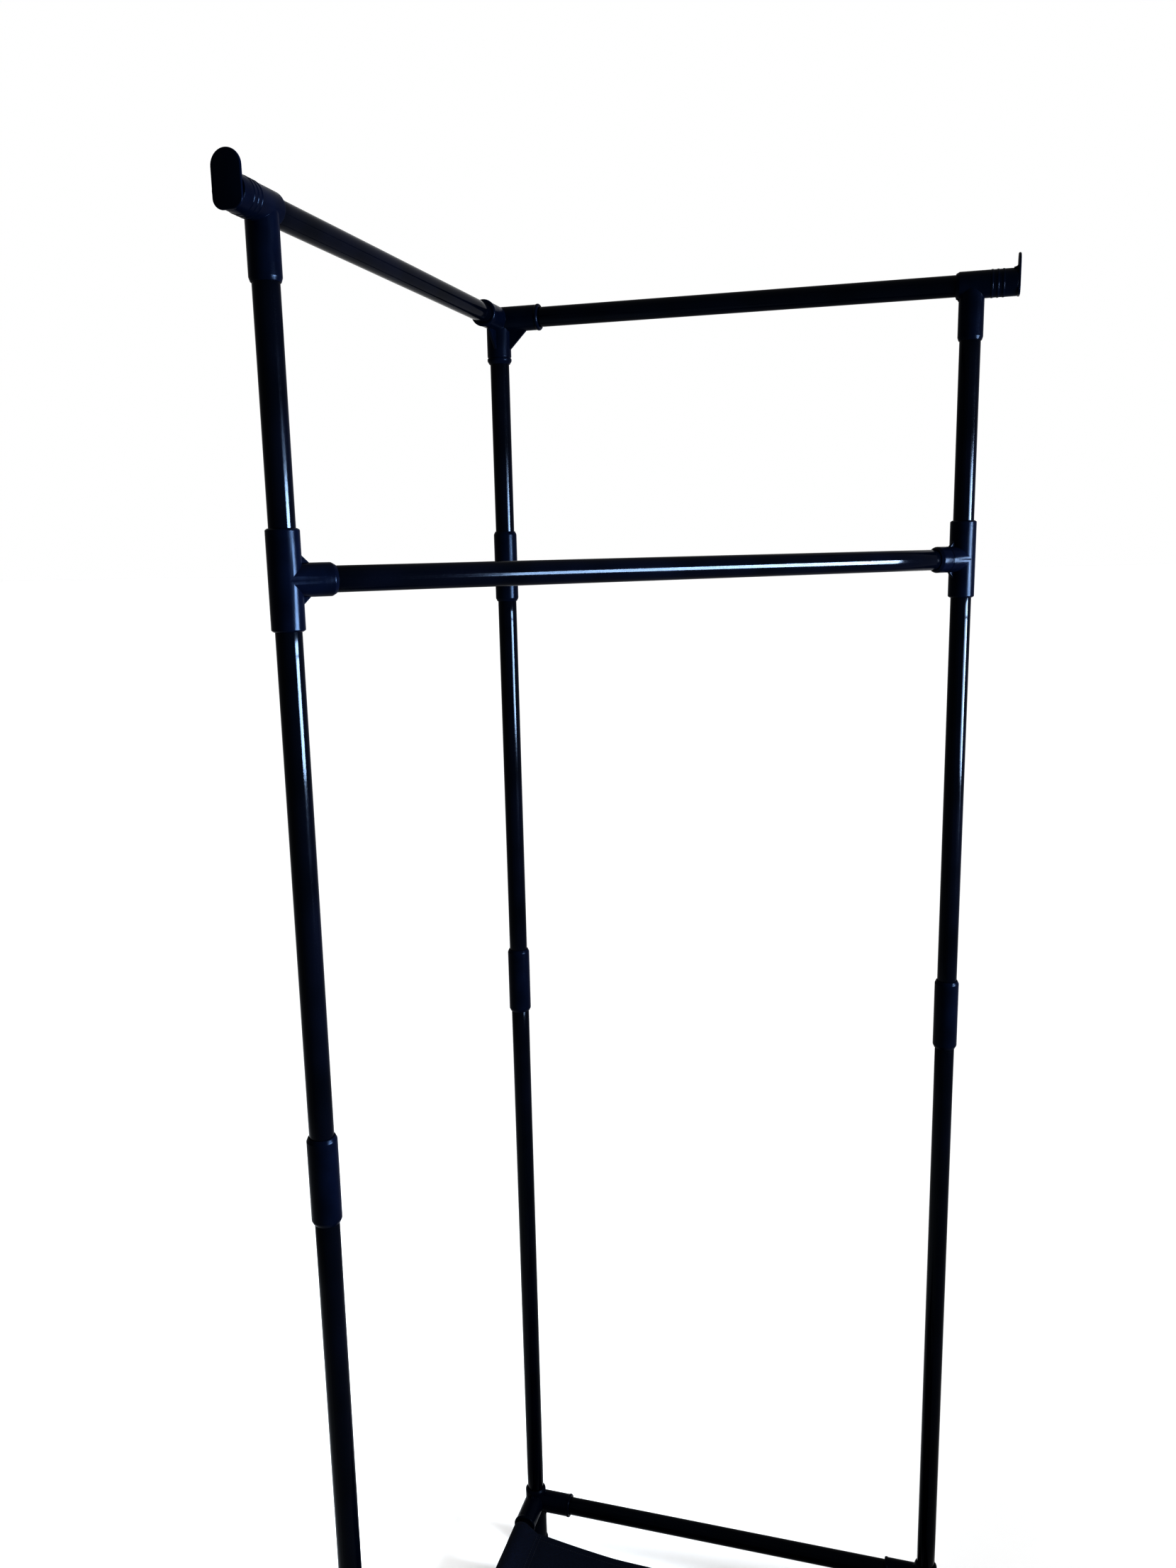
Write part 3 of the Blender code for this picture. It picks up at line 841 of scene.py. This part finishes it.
def add_stitch(bm, start, end, normal, radius):
    """One visible stitch: a short raised bar that dips into the cloth at each end."""
    along = end - start
    side = along.normalized().cross(normal)
    rings = []
    for t, lift in ((0.0, -0.9), (0.15, 0.1), (0.5, 0.6), (0.85, 0.1), (1.0, -0.9)):
        centre = start + along * t + normal * radius * lift
        width = radius if 0 < t < 1 else radius * 0.6
        ring = []
        for k in range(6):
            turn = math.radians(60 * k)
            ring.append(bm.verts.new(centre + side * math.cos(turn) * width
                                     + normal * math.sin(turn) * width))
        rings.append(ring)
    for a, b in zip(rings, rings[1:]):
        for k in range(6):
            bm.faces.new((a[k], a[(k + 1) % 6], b[(k + 1) % 6], b[k]))
    bm.faces.new(rings[0][::-1])
    bm.faces.new(rings[-1])


def sew(bm, points, normals, lift):
    """Stitches at an even pitch along a line of surface points."""
    spans = [(b - a).length for a, b in zip(points, points[1:])]

    def place(distance):
        for i, span in enumerate(spans):
            if distance <= span or i == len(spans) - 1:
                t = min(1.0, distance / span)
                spot = points[i].lerp(points[i + 1], t)
                n = normals[i].lerp(normals[i + 1], t).normalized()
                return spot + n * lift, n
            distance -= span

    for i in range(int(sum(spans) / STITCH_PITCH)):
        start, n = place(i * STITCH_PITCH + STITCH_GAP / 2)
        end, n_end = place((i + 1) * STITCH_PITCH - STITCH_GAP / 2)
        add_stitch(bm, start, end, (n + n_end).normalized(), STITCH_R)


def make_shelf(cloth_mat, thread_mat):
    """The shelf's sheet round both side rails, with its hems and its stitches."""
    left = middle("base_rail_left")
    right = middle("base_rail_right")
    low, high = box_of("shelf_fabric")
    depth = high.y - low.y
    path = shelf_outline(left.x, right.x, left.z)
    rows = row_places(depth)
    wide = len(rows)
    obj, total = cloth_sheet("shelf_panel", path, rows, low.y)
    hang_cloth(obj, path, rows)
    spots = [v.co.copy() for v in obj.data.vertices]
    thicken(obj, CLOTH_T)
    obj.data.shade_smooth()
    dress(obj, cloth_mat, "shelf_cloth", "shelf_fabric")
    free = [i for i, p in enumerate(path) if p[2]]
    columns = [free[0] - 1] + free + [free[-1] + 1]
    front_rows = list(range(len(HEM_ROWS)))
    back_rows = [wide - 1 - j for j in front_rows]
    front = make_hem("shelf_hem_front", spots, wide, columns, front_rows, cloth_mat)
    back = make_hem("shelf_hem_back", spots, wide, columns, back_rows, cloth_mat)
    bm = bmesh.new()
    for j in (front_rows[HEM_STITCH], back_rows[HEM_STITCH]):
        for side, lift in ((1, STITCH_LIFT), (-1, UNDER_HEM)):
            points = [spots[i * wide + j] for i in columns]
            normals = [grid_normal(spots, wide, i, j) * side for i in columns]
            sew(bm, points, normals, lift)
    for i in (columns[0], columns[0] + 1, columns[-1], columns[-1] - 1):
        for side, lift in ((1, STITCH_LIFT), (-1, UNDER_SEAM)):
            points = [spots[i * wide + j] for j in range(wide)]
            normals = [grid_normal(spots, wide, i, j) * side for j in range(wide)]
            sew(bm, points, normals, lift)
    mesh = bpy.data.meshes.new("shelf_stitches")
    bm.to_mesh(mesh)
    bm.free()
    mesh.shade_smooth()
    stitches = placed("shelf_stitches", mesh)
    mesh.materials.append(thread_mat)
    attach(stitches, "root")


# ---------------------------------------------------------------- the whole rail

def build_rail():
    """Every piece, placed where its CAD node stands."""
    gloss = enamel()
    plastic = moulded("connector_black_satin", (0.0002, 0.0006, 0.0024),
                      (0.0004, 0.0011, 0.0040), 0.20, 1900.0, 0.0004)
    rubbery = moulded("foot_black_dull", (0.0040, 0.0042, 0.0050),
                      (0.0080, 0.0082, 0.0096), 0.55, 1400.0, 0.0005)
    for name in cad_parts:
        if name.startswith(("post_", "hanging_rail_", "base_rail_")) or name == "cross_bar":
            make_tube(name, gloss)
        elif "_coupler_" in name:
            make_coupler(name, plastic)
        elif name.startswith("foot_"):
            make_foot(name, rubbery)
        elif name.startswith("socket_plug"):
            make_plug(name, rubbery)

    brace = (middle("post_upper_right") - middle("post_upper_left")).normalized()
    make_tee("tee_left", brace, "plain", plastic)
    make_tee("tee_right", -brace, "ring", plastic)

    top_z = middle("hanging_rail_right").z
    posts = {label: middle("post_lower_" + label) for label in ("corner", "left", "right")}
    posts["front"] = middle("foot_front")
    for post in posts.values():
        post.z = top_z
    make_top_corner("top_connector_corner", posts["corner"], plastic)
    make_end_connector("end_connector_right", posts["right"], X, plastic)
    make_end_connector("end_connector_left", posts["left"], -Y, plastic)

    base_z = middle("base_rail_back").z
    for post in posts.values():
        post.z = base_z
    corners = {"corner": (X, -Y), "left": (X, Y), "right": (-X, -Y), "front": (-X, Y)}
    for label, legs in corners.items():
        make_base_connector("base_connector_" + label, posts[label], legs, plastic)
    make_shelf(non_woven(), thread())


# ---------------------------------------------------------------- the studio

def area_light(name, at, target, size, power, colour):
    """A rectangular lamp that faces its target."""
    data = bpy.data.lights.new(name, "AREA")
    data.shape = "RECTANGLE"
    data.size, data.size_y = size
    data.energy = power
    data.color = colour
    obj = placed(name, data, at)
    obj.rotation_euler = (Vector(target) - Vector(at)).to_track_quat("-Z", "Y").to_euler()
    return obj


def build_studio():
    """White room lit evenly from all round, with a two-pane window on the right."""
    scene = bpy.context.scene
    scene.view_settings.view_transform = "Standard"
    scene.view_settings.gamma = GAMMA

    bpy.ops.mesh.primitive_grid_add(x_subdivisions=8, y_subdivisions=8, size=FLOOR_SIZE)
    floor = bpy.context.object
    floor.name = "studio_floor"
    floor.location.z = -FLOOR_DROP
    floor.data.materials.append(pale_floor())

    world = bpy.data.worlds.new("studio")
    scene.world = world
    world.use_nodes = True
    back = world.node_tree.nodes["Background"]
    back.inputs["Color"].default_value = (1, 1, 1, 1)
    back.inputs["Strength"].default_value = 1.0

    sky = bpy.data.lights.new("soft_top", "SUN")
    sky.energy = SUN_STRENGTH
    sky.angle = math.radians(SUN_WIDTH)
    top = placed("soft_top", sky)
    top.rotation_euler = (math.radians(SUN_TILT[0]), math.radians(SUN_TILT[1]), 0)

    x, y = WINDOW_AT
    for name, height, tall in WINDOW_PANES:
        pane = area_light(name, (x, y, height), (0, y, height), (WINDOW_WIDE, tall),
                          WINDOW_POWER * tall, WINDOW_COLOUR)
        pane.data.spread = math.radians(WINDOW_SPREAD)

    camera = bpy.data.cameras.new("camera")
    camera.lens = CAMERA_LENS
    camera.sensor_width = SENSOR
    scene.camera = placed("camera", camera, CAMERA_AT)
    scene.camera.rotation_euler = Euler([math.radians(a) for a in CAMERA_TURN])


build_rail()
build_studio()
bpy.context.view_layer.update()
